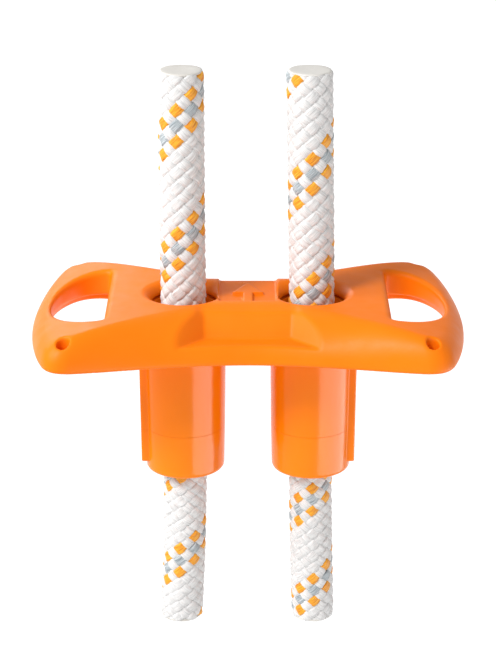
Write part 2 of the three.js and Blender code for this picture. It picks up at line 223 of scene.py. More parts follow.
def relaxed(points, quads, amount=0.5):
    """Evens out the mesh by moving each point towards its neighbours' middle."""
    total = np.zeros_like(points)
    count = np.zeros(len(points))
    for k in range(4):
        a, b = quads[:, k], quads[:, (k + 1) % 4]
        np.add.at(total, a, points[b])
        np.add.at(count, a, 1)
        np.add.at(total, b, points[a])
        np.add.at(count, b, 1)
    return points + (total / np.maximum(count, 1)[:, None] - points) * amount


def moulded(name, field, low, high, cell):
    """A piece whose surface is a field's."""
    points, quads = nets(field, low, high, cell)
    points = onto_surface(field, points)
    points = onto_surface(field, relaxed(points, quads))
    return mesh_object(name, points, quads)


# Materials


def new_material(name, **sockets):
    material = bpy.data.materials.new(name)
    material.use_nodes = True
    shader = material.node_tree.nodes["Principled BSDF"]
    for key, value in sockets.items():
        shader.inputs[key.replace("_", " ")].default_value = value
    return material


def add_node(material, kind, links=(), **values):
    """A node with some sockets set and some linked, each link being (socket, from_socket)."""
    node = material.node_tree.nodes.new(kind)
    for key, value in values.items():
        if hasattr(node, key):
            setattr(node, key, value)
        else:
            node.inputs[key.replace("_", " ")].default_value = value
    for socket, source in links:
        material.node_tree.links.new(source, node.inputs[socket])
    return node


def to_shader(material, socket, source):
    shader = material.node_tree.nodes["Principled BSDF"]
    material.node_tree.links.new(source, shader.inputs[socket])


def place_noise(material, scale, detail=2.0, stretch=None):
    """Noise that sticks to the piece, with its scale in waves per metre."""
    source = add_node(material, "ShaderNodeTexCoord").outputs["Object"]
    if stretch is not None:
        mapping = add_node(material, "ShaderNodeMapping", [("Vector", source)])
        mapping.inputs["Scale"].default_value = stretch
        source = mapping.outputs["Vector"]
    noise = add_node(material, "ShaderNodeTexNoise", [("Vector", source)], Scale=scale, Detail=detail)
    return noise.outputs["Fac"]


def colour_ramp(material, source, *stops):
    ramp = add_node(material, "ShaderNodeValToRGB", [("Fac", source)])
    elements = ramp.color_ramp.elements
    while len(elements) < len(stops):
        elements.new(0.5)
    for element, (position, colour) in zip(elements, stops):
        element.position = position
        element.color = (*colour, 1)
    return ramp.outputs["Color"]


def number_range(material, source, low, high, start=0.0, end=1.0):
    node = add_node(material, "ShaderNodeMapRange", [("Value", source)])
    for socket, value in (("From Min", start), ("From Max", end), ("To Min", low), ("To Max", high)):
        node.inputs[socket].default_value = value
    return node.outputs["Result"]


def bumped(material, source, strength, distance):
    bump = add_node(material, "ShaderNodeBump", [("Height", source)], Strength=strength, Distance=distance)
    to_shader(material, "Normal", bump.outputs["Normal"])


def moulded_plastic(name, deep, light, roughness, specular, grain=0.25):
    """Injection-moulded plastic: slow colour drift, an uneven sheen and a fine mould texture."""
    material = new_material(name, Specular_IOR_Level=specular)
    drift = place_noise(material, 45, 3)
    to_shader(material, "Base Color", colour_ramp(material, drift, (0.3, deep), (0.7, light)))
    sheen = place_noise(material, 260, 4)
    spread = number_range(material, sheen, roughness - 0.05, roughness + 0.06, 0.3, 0.7)
    to_shader(material, "Roughness", spread)
    bumped(material, place_noise(material, 1500, 3), grain, 0.00006)
    return material


def worked_metal(name, colour, roughness, stretch):
    """Machined or drawn steel: fine lines along the tool's path and faint stains."""
    material = new_material(name, Metallic=1.0)
    stain = place_noise(material, 160, 4)
    darker = tuple(c * 0.8 for c in colour)
    to_shader(material, "Base Color", colour_ramp(material, stain, (0.35, darker), (0.65, colour)))
    lines = place_noise(material, 900, 3, stretch)
    spread = number_range(material, lines, roughness - 0.08, roughness + 0.1, 0.3, 0.7)
    to_shader(material, "Roughness", spread)
    bumped(material, lines, 0.15, 0.00003)
    return material


def fibre(name, dark, middle, bright, sheen):
    """Filaments that run along a strand, from the strand's own across and along attributes. The colour
    darkens where the same noise sinks the bump: painted shade in the grooves between filaments, on top of
    random tone from filament to filament.
    """
    material = new_material(name, Specular_IOR_Level=0.3, Roughness=0.62)
    shader = material.node_tree.nodes["Principled BSDF"]
    shader.inputs["Sheen Weight"].default_value = sheen
    shader.inputs["Sheen Roughness"].default_value = 0.5
    lay = add_node(material, "ShaderNodeAttribute", attribute_name="lay").outputs["Vector"]
    thread = add_node(material, "ShaderNodeTexNoise", [("Vector", lay)], Scale=1.0, Detail=2.0).outputs["Fac"]
    # Painted shade: the dark stop falls where the noise sinks the bump, so the grooves between filaments are
    # painted darker; the rest of the spread is random tone.
    colour = colour_ramp(material, thread, (0.3, dark), (0.5, middle), (0.72, bright))
    to_shader(material, "Base Color", colour)
    bumped(material, thread, 0.5, 0.00018)
    return material


ORANGE = moulded_plastic("yoke_plastic", (0.91, 0.186, 0.002), (0.96, 0.208, 0.004), 0.38, 0.13)
SLEEVE_ORANGE = moulded_plastic(
    "sleeve_plastic", (0.97, 0.216, 0.0002), (0.99, 0.23, 0.0006), roughness=0.19, specular=0.2, grain=0.05
)
COVER_ORANGE = moulded_plastic("cover_plastic", (0.9, 0.18, 0.002), (0.95, 0.2, 0.005), 0.44, 0.3, 0.35)
CUP_STEEL = worked_metal("cup_steel", (0.55, 0.56, 0.58), 0.3, (1, 1, 9))
JAW_STEEL = worked_metal("jaw_steel", (0.46, 0.46, 0.47), 0.38, (1, 1, 6))
SPRING_STEEL = worked_metal("spring_steel", (0.6, 0.6, 0.6), 0.26, (4, 4, 1))
SCREW_STEEL = worked_metal("screw_steel", (0.62, 0.61, 0.58), 0.3, (1, 1, 3))
# Each fibre's first colour is its darkest: it is painted shade for the grooves between filaments, as well as
# random tone.
WHITE_FIBRE = fibre("white_fibre", (0.52, 0.515, 0.51), (0.70, 0.69, 0.68), (0.80, 0.795, 0.79), 0.05)
ORANGE_FIBRE = fibre("orange_fibre", (0.52, 0.15, 0.008), (0.84, 0.33, 0.012), (0.93, 0.52, 0.05), 0.08)
GREY_FIBRE = fibre("grey_fibre", (0.17, 0.2, 0.22), (0.36, 0.40, 0.42), (0.62, 0.66, 0.68), 0.12)
MELTED = moulded_plastic("melted_fibre", (0.6, 0.57, 0.52), (0.72, 0.7, 0.66), 0.36, 0.4, 0.5)


# Camera


LENS = 118.9
VIEW_BACK, VIEW_UP = 0.49036, 0.1733
VIEW_DOWN = 20.5


def camera():
    """A long lens in front of the plate, looking down at it."""
    data = bpy.data.cameras.new("camera")
    data.sensor_width = 36
    data.lens = LENS
    data.clip_start = 0.01
    data.clip_end = 50
    view = bpy.data.objects.new("camera", data)
    view.location = (0, -VIEW_BACK, VIEW_UP)
    view.rotation_euler = (math.radians(90 - VIEW_DOWN), 0, 0)
    bpy.context.scene.collection.objects.link(view)
    bpy.context.scene.camera = view


# Ropes

CARRIERS = 8
OVERS = 8
STEPS_PER_OVER = 8
SECTION = 20
CORE_SIDES = 32
BRAID = {"centre": 4.5, "swing": 0.46, "square": 0.9, "half_thick": 0.58, "half_wide": 1.38, "core": 4.1}
# The rope carries the load above LOAD_TOP. Below LOAD_LOW it is slack, and this much thinner.
LOAD_TOP, LOAD_LOW = -4.0, -46.0
SLACK = 0.965
BRAIDS = {
    "left": {"column": -12, "upper": (12.06, 29.75), "lower": (-69.0, 25.6)},
    "right": {"column": 4, "upper": (30.33, 29.3), "lower": (-52.45, 24.6)},
}


def hermite(t, start, start_slope, end, end_slope):
    """A smooth step between two values, with its slope at both ends."""
    return (
        (2 * t**3 - 3 * t**2 + 1) * start
        + (t**3 - 2 * t**2 + t) * start_slope
        + (3 * t**2 - 2 * t**3) * end
        + (t**3 - t**2) * end_slope
    )


def route(name, z):
    """The rope's x at a height, and its slope there."""
    places = ROUTE_X[name]
    slopes = np.gradient(places, ROUTE_Z)
    k = np.clip(np.searchsorted(ROUTE_Z, z) - 1, 0, len(ROUTE_Z) - 2)
    step = ROUTE_Z[k + 1] - ROUTE_Z[k]
    t = (z - ROUTE_Z[k]) / step
    x = hermite(t, places[k], step * slopes[k], places[k + 1], step * slopes[k + 1])
    return x, slopes[k] + (slopes[k + 1] - slopes[k]) * t


def braid_turns(braid, z):
    """Turns of the braid up to a height. The loaded rope above has a longer lay than the slack."""
    upper_row, upper_lay = braid["upper"]
    lower_row, lower_lay = braid["lower"]
    span = LOAD_TOP - LOAD_LOW
    top = (LOAD_TOP - upper_row) / upper_lay
    low = (LOAD_LOW - lower_row) / lower_lay
    natural = span * 0.5 * (1 / upper_lay + 1 / lower_lay)
    whole = round(top - natural - low)
    t = np.clip((z - LOAD_LOW) / span, 0, 1)
    held = hermite(t, low + whole, span / lower_lay, top, span / upper_lay)
    above = (z - upper_row) / upper_lay
    below = (z - lower_row) / lower_lay + whole
    return np.where(z > LOAD_TOP, above, np.where(z < LOAD_LOW, below, held))


def rope_scale(z):
    """The slack rope below the sleeve is a little thinner than the loaded rope above it."""
    t = np.clip((z - LOAD_LOW) / (LOAD_TOP - LOAD_LOW), 0, 1)
    drawn = 1 - 0.1 * np.clip(1 - np.minimum(ROPE_TOP - z, z - ROPE_LOW) / 1.4, 0, 1) ** 2
    return (SLACK + (1 - SLACK) * t) * drawn


def strand_line(name, heights, start, turning):
    """A strand's middle line, the directions out from the rope's axis, and the turns made."""
    turns = braid_turns(BRAIDS[name], heights)
    angle = start + turning * TURN * turns
    wave = np.cos(TURN * OVERS * turns)
    swing = np.tanh(BRAID["square"] * wave) / math.tanh(BRAID["square"]) * turning
    radius = (BRAID["centre"] + BRAID["swing"] * swing) * rope_scale(heights)
    x, slope = route(name, heights)
    out = np.stack([np.cos(angle), np.sin(angle), -slope * np.cos(angle)], axis=-1)
    middle = np.stack([x, np.zeros_like(x), heights], axis=-1)
    return middle + out * radius[:, None], out, turns


def unit(vectors):
    return vectors / np.linalg.norm(vectors, axis=-1, keepdims=True)


def strand_section():
    """Half-widths and thicknesses round a strand: a flat bundle of four plied yarns."""
    angle = (np.arange(SECTION) + 0.5) * TURN / SECTION
    wide = np.sign(np.cos(angle)) * np.abs(np.cos(angle)) ** 0.75 * BRAID["half_wide"]
    thick = np.sign(np.sin(angle)) * np.abs(np.sin(angle)) ** 0.8 * BRAID["half_thick"]
    return wide, thick * (1 + 0.16 * np.cos(wide / BRAID["half_wide"] * 3 * TURN / 2))


def strand(name, heights, start, turning, seed):
    """A strand swept along its line through the braid, with each point's place in the bundle."""
    line, out, turns = strand_line(name, heights, start, turning)
    along = unit(np.gradient(line, axis=0))
    across = unit(np.cross(along, out))
    up = np.cross(across, along)
    wide, thick = strand_section()
    waves = np.random.default_rng(seed).uniform(0, TURN, 4)
    swell = 1 + 0.05 * np.sin(turns * 31 + waves[0]) + 0.04 * np.sin(turns * 53 + waves[1])
    shift = 0.07 * np.sin(turns * 23 + waves[2])
    lift = 0.035 * np.sin(turns * 41 + waves[3])
    width = wide[None, :] * (rope_scale(heights) * swell)[:, None] + shift[:, None]
    depth = (thick - wide**2 / 11)[None, :] + lift[:, None]
    points = line[:, None] + across[:, None] * width[..., None] + up[:, None] * depth[..., None]
    points[..., 2] = np.clip(points[..., 2], ROPE_LOW + 0.25, ROPE_TOP - 0.25)
    distance = np.concatenate([[0], np.cumsum(np.linalg.norm(np.diff(line, axis=0), axis=1))])
    lay = (wide * 6.5, distance[:, None] * 0.5, thick * 3 + seed * 7.3)
    lay = np.stack(np.broadcast_arrays(*lay), axis=-1)
    return points.reshape(-1, 3), lay.reshape(-1, 3)


def core_tube(name, heights):
    """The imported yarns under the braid, and a melted face at each end."""
    sizes = [(z, BRAID["core"] * k) for z, k in zip(heights, rope_scale(heights))]
    melt = ((5.0, 0.55), (5.12, 0.34), (5.0, 0.14), (4.5, 0.08), (2.8, 0.2), (1.2, 0.16), (0.02, 0.22))
    sizes += [(ROPE_TOP - sink, r) for r, sink in melt]
    sizes = [(ROPE_LOW + sink, r * SLACK) for r, sink in reversed(melt)] + sizes
    angle = np.arange(CORE_SIDES) * TURN / CORE_SIDES
    rings = []
    for z, r in sizes:
        lump = 1 + 0.012 * np.sin(angle * 5 + z) + 0.01 * np.sin(angle * 9)
        x = route(name, z)[0]
        ring = [x + r * lump * np.cos(angle), r * lump * np.sin(angle), angle * 0 + z]
        rings.append(np.stack(ring, axis=-1))
    return np.array(rings)


def rope_heights(name):
    """Heights at even steps of the braid, a little past both ends, where the strands are cut flat."""
    low, top = ROPE_LOW - 2, ROPE_TOP + 2
    fine = np.linspace(low, top, 4000)
    turns = braid_turns(BRAIDS[name], fine)
    count = int((turns[-1] - turns[0]) * OVERS * STEPS_PER_OVER)
    return np.interp(np.linspace(turns[0], turns[-1], count), turns, fine)


def rope(name, side):
    """Eight strands each way round, each one over and under in turn. Three neighbours are the tracers."""
    heights = rope_heights(name)
    column = math.radians(BRAIDS[name]["column"] - 90)
    points, lays, faces, finishes = [], [], [], []
    base = 0

    def add(part, lay, rings, around, finish):
        nonlocal base
        quads = ring_faces(rings, around)
        points.append(part)
        lays.append(lay)
        faces.append(quads + base)
        finishes.append(np.full(len(quads), finish))
        base += len(part)

    for turning in (1, -1):
        for number in range(CARRIERS):
            start = column + number * TURN / CARRIERS
            tracer = 2 if number == 0 else 1 if number in (1, CARRIERS - 1) else 0
            seed = number + 300 + 20 * turning + 100 * side
            part, lay = strand(name, heights, start, turning, seed)
            add(part, lay, len(heights), SECTION, tracer if turning > 0 else 0)
    core = core_tube(name, np.arange(ROPE_LOW + 1, ROPE_TOP - 0.5, 1.5))
    flat = core.reshape(-1, 3)
    add(flat, flat, len(core), CORE_SIDES, 3)
    piece = mesh_object(f"braided_rope_{name}", np.concatenate(points), np.concatenate(faces))
    for material in (WHITE_FIBRE, ORANGE_FIBRE, GREY_FIBRE, MELTED):
        piece.data.materials.append(material)
    piece.data.polygons.foreach_set("material_index", np.concatenate(finishes).astype(np.int32))
    lay = piece.data.attributes.new("lay", "FLOAT_VECTOR", "POINT")
    lay.data.foreach_set("vector", np.concatenate(lays).astype(np.float32).ravel())
    settle(piece, f"rope_body_{name}", "rope_sheath", None, f"rope_{name}")


# Yoke

PLATE = {
    "tip_x": 51.3,
    "tip_rim": -8.7,
    "rim_arch": 1.8,
    "tip_drop": 5.2,
    "front_shoulder": 15.0,
    "tip_shoulder": 5.3,
    "front_power": 1.75,
    "tip_power": 2.35,
    "spine": 0.62,
    "wall": 2.4,
    "deck": 3.0,
    "cavity_x": 30.5,
    "cover_y": 19.6,
}
SCOOP = {"top_y": 11.18, "foot_y": 16.2, "sill": 6.1, "top_half": 10.45, "foot_half": 10.1, "flare": 0.955}
BROW = {"y": 9, "half": 11.8, "fall": 1 / 3}
MOUTH = {"throat": 7.7, "flare": 1.9, "depth": 3.2, "power": 2.4}
RECESS = {"half_x": 6.9, "half_y": 9.75, "middle_y": 3.25, "depth": 1.6}
CORNER = {"x": 42, "y": 27.4, "r": 1.5, "floor": -7.7, "nib_y": 28.6, "nib_r": 0.6, "nib_top": -5.8}
RELIEF = {"top": -7.2, "widen": 1.16}
SCREW_ENDS, SCREW_MIDDLE = (26.2, 14.4), (0, 9.2)
SCREW_BORE, SCREW_BOSS = 1.5, 2.8


def bezier(*corners, steps=40):
    """Points along a curve with three or four control points, without the last one."""
    t = np.arange(steps)[:, None] / steps
    degree = len(corners) - 1
    return sum(
        math.comb(degree, k) * t**k * (1 - t) ** (degree - k) * np.array(corner, dtype=float)
        for k, corner in enumerate(corners)
    )


def rim_quarter():
    """The rim from the right tip round the corner to the middle of one long side, with y positive."""
    return np.concatenate(
        [
            bezier((51.3, 0), (51.3, 9.5), (50, 19.5), (47.6, 26.6)),
            bezier((47.6, 26.6), (46.4, 30.4), (44.4, 31.6), (41, 31)),
            bezier((41, 31), (31, 28.6), (17, 22.6), (0, 22.6)),
            [(0.0, 22.6)],
        ]
    )


def rim_tables(x, y):
    """How far a place is in from the rim, towards the spine, and the rim's x there."""
    rim = rim_quarter()
    spine = np.stack([rim[:, 0] * PLATE["spine"], np.zeros(len(rim))], axis=-1)
    run = np.full(x.shape, 30.0)
    rim_x = x.copy()
    found = np.zeros(x.shape, dtype=bool)
    arms = rim - spine
    side = None
    for k in range(len(rim)):
        cross = (x - spine[k, 0]) * arms[k, 1] - (y - spine[k, 1]) * arms[k, 0]
        if side is not None:
            hit = (side * cross <= 0) & ~found & (side != cross)
            t = np.where(hit, side / np.where(hit, side - cross, 1), 0)
            px = rim[k - 1, 0] + (rim[k, 0] - rim[k - 1, 0]) * t
            py = rim[k - 1, 1] + (rim[k, 1] - rim[k - 1, 1]) * t
            ax = px * (1 - PLATE["spine"])
            reach = np.hypot(ax, py)
            inward = ((x - px * PLATE["spine"]) * ax + y * py) / reach
            valid = hit & (inward > -0.5)
            run = np.where(valid, reach - inward, run)
            rim_x = np.where(valid, px, rim_x)
            found |= valid
        side = cross
    return run, rim_x


def outline_depth(outline, x, y):
    """How far inside a closed outline a place is, negative outside."""
    nearest = np.full(np.shape(x), 1e9)
    inside = np.zeros(np.shape(x), dtype=bool)
    for a, b in zip(outline, np.roll(outline, -1, axis=0)):
        dx, dy = b - a
        length = dx * dx + dy * dy
        if length < 1e-12:
            continue
        px, py = x - a[0], y - a[1]
        t = np.clip((px * dx + py * dy) / length, 0, 1)
        nearest = np.minimum(nearest, (px - t * dx) ** 2 + (py - t * dy) ** 2)
        if dy:
            inside ^= ((a[1] > y) != (b[1] > y)) & (x < dx * py / dy + a[0])
    return np.where(inside, 1, -1) * np.sqrt(nearest)


class Quarter:
    """Values in plan for a plate that is the same left to right and front to back."""

    def __init__(self, work_out, cell=0.2):
        self.cell = cell
        x, y = np.meshgrid(np.arange(0, 56, cell), np.arange(0, 34, cell), indexing="ij")
        self.tables = work_out(x, y)

    def __call__(self, x, y):
        u, v = np.abs(x) / self.cell, np.abs(y) / self.cell
        rows, columns = self.tables[0].shape
        i = np.clip(u.astype(int), 0, rows - 2)
        j = np.clip(v.astype(int), 0, columns - 2)
        u, v = np.clip(u - i, 0, 1), np.clip(v - j, 0, 1)
        return [
            (t[i, j] * (1 - u) + t[i + 1, j] * u) * (1 - v)
            + (t[i, j + 1] * (1 - u) + t[i + 1, j + 1] * u) * v
            for t in self.tables
        ]


def slot_outline(widen=1.0):
    """The D-shaped slot at the right end, or the wider relief under it."""
    points = np.concatenate(
        [
            bezier((33.4, -15.6), (33.4, -17.2), (35, -17.2), steps=12),
            bezier((35, -17.2), (41.2, -17.4), (46.7, -10.5), (46.9, 0), steps=30),
            bezier((46.9, 0), (46.7, 10.5), (41.2, 17.4), (35, 17.2), steps=30),
            bezier((35, 17.2), (33.4, 17.2), (33.4, 15.6), steps=12),
        ]
    )
    return points * (1, widen)


ARROW = np.array(((-3.8, 1.8), (0, 9.4), (3.8, 1.8), (1.2, 1.8), (1.2, -5.2), (-1.2, -5.2), (-1.2, 1.8)))


def plan_tables(x, y):
    run, rim_x = rim_tables(x, y)
    relief = slot_outline(RELIEF["widen"])
    return [run, rim_x, outline_depth(slot_outline(), x, y), outline_depth(relief, x, y)]


def plate(plan, x, z, inset=0.0, sink=0.0, edge=1.0):
    """The plate's domed body, or the same form shrunk for its hollow."""
    run, rim_x = plan[0], plan[1]
    share = np.clip(np.abs(x) / PLATE["tip_x"], 0, 1)
    rim_share = np.clip(np.abs(rim_x) / PLATE["tip_x"], 0, 1)
    front, tip = PLATE["front_shoulder"], PLATE["tip_shoulder"]
    shoulder = tip + (front - tip) * (1 - rim_share**2.6) ** 1.8 - inset
    deck = -PLATE["tip_drop"] * share**5 - sink
    rim = PLATE["tip_rim"] - PLATE["rim_arch"] * (1 - rim_share**2) - sink
    height = deck - rim
    power = PLATE["front_power"] + (PLATE["tip_power"] - PLATE["front_power"]) * rim_share**4
    u = np.maximum(1 - (run - inset) / shoulder, 0)
    v = np.maximum((z - rim) / height, 0.02)
    size = (u**power + v**power) ** (1 / power)
    slope = np.hypot((u / size) ** (power - 1) / shoulder, (v / size) ** (power - 1) / height)
    return soft_max((size - 1) / slope, rim - z, edge)


def scoop(x, y, z, grow=0.0):
    """The space of a finger scoop, above zero inside it. A leaning face stands between two open flanks."""
    sill, flare = SCOOP["sill"], SCOOP["flare"]
    lean = (SCOOP["foot_y"] - SCOOP["top_y"]) / sill
    narrowing = (SCOOP["top_half"] - SCOOP["foot_half"]) / sill
    past_face = np.abs(y) - (SCOOP["top_y"] - lean * z) + grow
    half = SCOOP["top_half"] + narrowing * z + flare * past_face + grow
    flank = (half - np.abs(x)) / math.hypot(1, flare)
    return soft_min(soft_min(past_face / math.hypot(1, lean), flank, 0.4), z + sill + grow, 0.5)


def brow(x, y, z):
    """The shallow fall of the deck above a scoop's face, above zero outside the deck."""
    fall = (z + (np.abs(y) - BROW["y"]) * BROW["fall"]) / math.hypot(1, BROW["fall"])
    return soft_min(fall, 0.5 * (BROW["half"] - np.abs(x)), 1.2)


def mouth(x, y, z):
    """The flared space where a rope enters, above zero inside it."""
    rise = np.clip((z + MOUTH["depth"]) / MOUTH["depth"], 0, None)
    flare = MOUTH["flare"] * np.minimum(rise, 1) ** MOUTH["power"] + np.maximum(z, 0) * 1.5
    return MOUTH["throat"] + flare - np.hypot(np.abs(x) - ROPE_X, y)


def from_screw(x, y, place):
    """How far a spot in plan is from the nearest of the screws that share a place's distances."""
    return np.hypot(np.abs(x) - place[0], np.abs(y) - place[1])


def cavity(plan, x, y, z):
    """The hollow above the bottom cover, above zero inside it."""
    hollow = -plate(plan, x, z, PLATE["wall"], PLATE["deck"])
    inside = PLATE["cavity_x"] - np.abs(x)
    below = np.minimum(np.minimum(inside, PLATE["cover_y"] - np.abs(y)), -7.5 - z)
    space = np.minimum(np.maximum(hollow, below), inside)
    space = soft_min(space, -scoop(x, y, z, 1.7), 0.8)
    for place in (SCREW_ENDS, SCREW_MIDDLE):
        boss = SCREW_BOSS - from_screw(x, y, place)
        space = soft_min(space, np.maximum(-boss, -(z + 7.4)), 0.6)
    return space


def recess_and_arrow(body, x, y, z):
    """Sinks the centre recess into a body and raises the arrow from its floor."""
    within_x = RECESS["half_x"] - np.abs(x)
    within_y = RECESS["half_y"] - np.abs(y - RECESS["middle_y"])
    recess = soft_min(soft_min(within_x, within_y, 1.2), z + RECESS["depth"], 0.5)
    body = soft_max(body, recess, 0.5)
    mark = soft_max(-outline_depth(ARROW, x, y), np.abs(z + 1.7) - 0.75, 0.15)
    return soft_min(body, mark, 0.12)


def corner_holes(body, x, y, z):
    """Blind holes near the plate's four corners, each with a small nib at its outer side."""
    hole = np.hypot(np.abs(x) - CORNER["x"], np.abs(y) - CORNER["y"])
    body = soft_max(body, soft_min(CORNER["r"] - hole, z - CORNER["floor"], 0.4), 0.6)
    nib = np.hypot(np.abs(x) - CORNER["x"], np.abs(y) - CORNER["nib_y"]) - CORNER["nib_r"]
    ends = np.maximum(z - CORNER["nib_top"], -8.2 - z)
    return soft_min(body, soft_max(nib, ends, 0.3), 0.4)


def yoke_field(x, y, z):
    plan = QUARTER(x, y)
    body = plate(plan, x, z)
    body = soft_max(body, cavity(plan, x, y, z), 0.4)
    body = soft_max(body, plan[2], 1.6)
    body = soft_max(body, soft_min(plan[3], RELIEF["top"] - z, 1.0), 1.0)
    body = soft_max(body, mouth(x, y, z), 0.8)
    body = soft_max(body, soft_max(scoop(x, y, z), brow(x, y, z), 0.4), 0.6)
    body = recess_and_arrow(body, x, y, z)
    body = corner_holes(body, x, y, z)
    for place in (SCREW_ENDS, SCREW_MIDDLE):
        body = np.maximum(body, np.minimum(SCREW_BORE - from_screw(x, y, place), -4.0 - z))
    return body


QUARTER = Quarter(plan_tables)


def yoke():
    cell = 0.34
    piece = moulded("yoke_body", yoke_field, (-51.5, -32, -11), (51.5, 32, 0.5), cell)
    settle(piece, "housing", "yoke_plastic", ORANGE, "yoke_shell")


# Bottom cover and its screws

SCREWS = {
    "front_left": (-26.2, -14.4),
    "front_centre": (0, -9.2),
    "front_right": (26.2, -14.4),
    "back_left": (-26.2, 14.4),
    "back_centre": (0, 9.2),
    "back_right": (26.2, 14.4),
}
COVER_CORNER = ((29.6, 18.9), (20.0, 18.9), (18.2, 12.6))


def cover_tables(x, y):
    corner = list(COVER_CORNER)
    back = corner + [(-a, b) for a, b in reversed(corner)]
    outline = np.array(back + [(-a, -b) for a, b in back], dtype=float)
    return [outline_depth(outline, x, y)]


COVER_QUARTER = Quarter(cover_tables)


def cover_field(x, y, z):
    """A flat plate with a raised border, two sleeve holes and six screw seats."""
    depth = COVER_QUARTER(x, y)[0]
    plate_body = soft_max(-depth, np.abs(z + 8.8) - 1.1, 0.5)
    sleeve_gap = np.hypot(np.abs(x) - ROPE_X, y) - 10.45
    border = np.minimum(depth, sleeve_gap) - 1.3
    screw = np.minimum(from_screw(x, y, SCREW_ENDS), from_screw(x, y, SCREW_MIDDLE))
    panel = soft_min(soft_min(border, screw - 3.6, 0.8), -9.5 - z, 0.2)
    plate_body = soft_max(plate_body, panel, 0.2)
    plate_body = soft_max(plate_body, -sleeve_gap, 0.5)
    seat = soft_min(2.6 - screw, -8.7 - z, 0.2)
    return soft_max(soft_max(plate_body, seat, 0.3), 1.5 - screw, 0.2)


def bottom_cover():
    cell = 0.3
    piece = moulded("base_cover", cover_field, (-30, -19.5, -10.2), (30, 19.5, -7.4), cell)
    settle(piece, "housing", "yoke_plastic", COVER_ORANGE, "bottom_cover")


def screw_field(x, y, z):
    """A domed head with a cross recess, and a threaded shank."""
    r = np.hypot(x, y)
    dome = np.hypot(r, z + 4.1) - 5.75
    head = soft_max(soft_max(r - 2.3, np.abs(z + 9.4) - 0.42, 0.25), dome, 0.3)
    turn = np.arctan2(y, x) / TURN
    thread = 0.17 * np.abs(2 * np.mod(z / 0.9 - turn, 1) - 1)
    shank = np.maximum(r - 1.2 + thread, np.maximum(z + 5.2, -9.2 - z))
    tip = np.maximum(r - np.clip(-4.4 - z, 0, 1) * 1.1, np.maximum(z + 4.4, -6 - z))
    body = soft_min(soft_min(head, shank, 0.2), tip, 0.1)
    bar = np.minimum(np.abs(x), np.abs(y)) - 0.33
    cross = soft_max(soft_max(bar, np.maximum(np.abs(x), np.abs(y)) - 1.4, 0.2), z + 9.25, 0.1)
    return soft_max(body, -cross, 0.12)


def cover_screws():
    cell = 0.11
    points, quads = nets(screw_field, (-2.5, -2.5, -10), (2.5, 2.5, -4.2), cell)
    points = onto_surface(screw_field, points, 2)
    for place, (x, y) in SCREWS.items():
        piece = mesh_object(f"screw_{place}", points + (x, y, 0), quads)
        settle(piece, "housing", "screw_steel", SCREW_STEEL, f"cover_screw_{place}")


# Sleeves and nose caps

RIB = {"half": 4.4, "top_out": 10.8, "low_out": 10.5, "top": -10.3, "low": -42.5}


def rib_angles():
    """Directions round a sleeve, closer together at the rib's two edges."""
    edges = np.radians(np.concatenate([np.arange(18, 31, 0.5), -np.arange(18, 31, 0.5)]))
    return np.unique(np.round(np.concatenate([np.arange(-180, 180, 3) * TURN / 360, edges]), 5))


def rib_reach(angle, z):
    """How far the rib stands out from the sleeve's axis in a direction and at a height."""
    along = (RIB["top"] - z) / (RIB["top"] - RIB["low"])
    out = RIB["top_out"] + (RIB["low_out"] - RIB["top_out"]) * along
    facing = np.where(np.cos(angle) > 0.2, np.cos(angle), 0.2)
    flank = np.maximum(np.abs(np.sin(angle)), 1e-6)
    reach = soft_min(out / facing, RIB["half"] / flank, 0.5)
    ends = np.clip(np.minimum(RIB["top"] - z, z - RIB["low"]) / 0.35, 0, 1)
    return np.where(np.cos(angle) > 0.2, reach, 0) - (1 - np.sqrt(1 - (1 - ends) ** 2)) * 2


def ribbed(name, side, outline, wall_from):
    """A turned sleeve whose outer wall carries a flat rib on the side away from the other rope."""
    profile = rounded(outline, 0.2)
    angle = rib_angles()
    r = np.repeat(profile[:, :1], len(angle), axis=1)
    z = np.repeat(profile[:, 1:], len(angle), axis=1)
    with_rib = soft_max(r, rib_reach(angle[None, :], z), 0.25)
    inside_rib = (z < RIB["top"]) & (z > RIB["low"]) & (r > wall_from)
    r = np.where(inside_rib, with_rib, r)
    turn = angle if side > 0 else angle + math.pi
    rings = np.stack([side * ROPE_X + r * np.cos(turn), r * np.sin(turn), z], axis=-1)
    return mesh_object(name, rings.reshape(-1, 3), ring_faces(len(profile), len(angle), closed=True))


def wall_rows(low, high, low_r, high_r, heights):
    """Extra points on a sleeve's outer wall at given heights, going up."""
    return [(low_r + (high_r - low_r) * (z - low) / (high - low), z, 0) for z in heights]


def sleeves():
    for name, side in SIDES:
        seam = -33.9
        rows = wall_rows(seam, -7.9, 9.75, 10.05, (-30, -26, -22, -18, -14, -11, -10.6, -10.4, -10.2))
        outline = [(8.9, seam, 0.1), (9.75, seam, 0.06), *rows, (10.05, -7.9, 0), (10.55, -7.4, 0.1)]
        outline += [(12.4, -7.4), (12.4, -5.1), (8.9, -5.1)]
        piece = ribbed(f"grip_sleeve_{name}", side, outline, 9.3)
        settle(piece, "housing", "sleeve_plastic", SLEEVE_ORANGE, f"sleeve_{name}")


def nose_caps():
    for name, side in SIDES:
        top = -33.94
        heights = (-42.52, -42.48, -42.42, -42.32, -42.15, -41.8, -39, -36.5)
        rows = wall_rows(-45, top, 9.5, 9.74, heights)
        outline = [(6.0, -45, 0.6), (9.5, -45, 2.4), *rows, (9.74, top, 0.06), (8.6, top, 0.05)]
        outline += [(8.6, -30.9), (7.9, -30.9), (7.9, -43.2), (6.0, -43.2)]
        piece = ribbed(f"nose_{name}", side, outline, 9.0)
        settle(piece, "housing", "sleeve_plastic", SLEEVE_ORANGE, f"nose_cap_{name}")


# The grip inside each sleeve

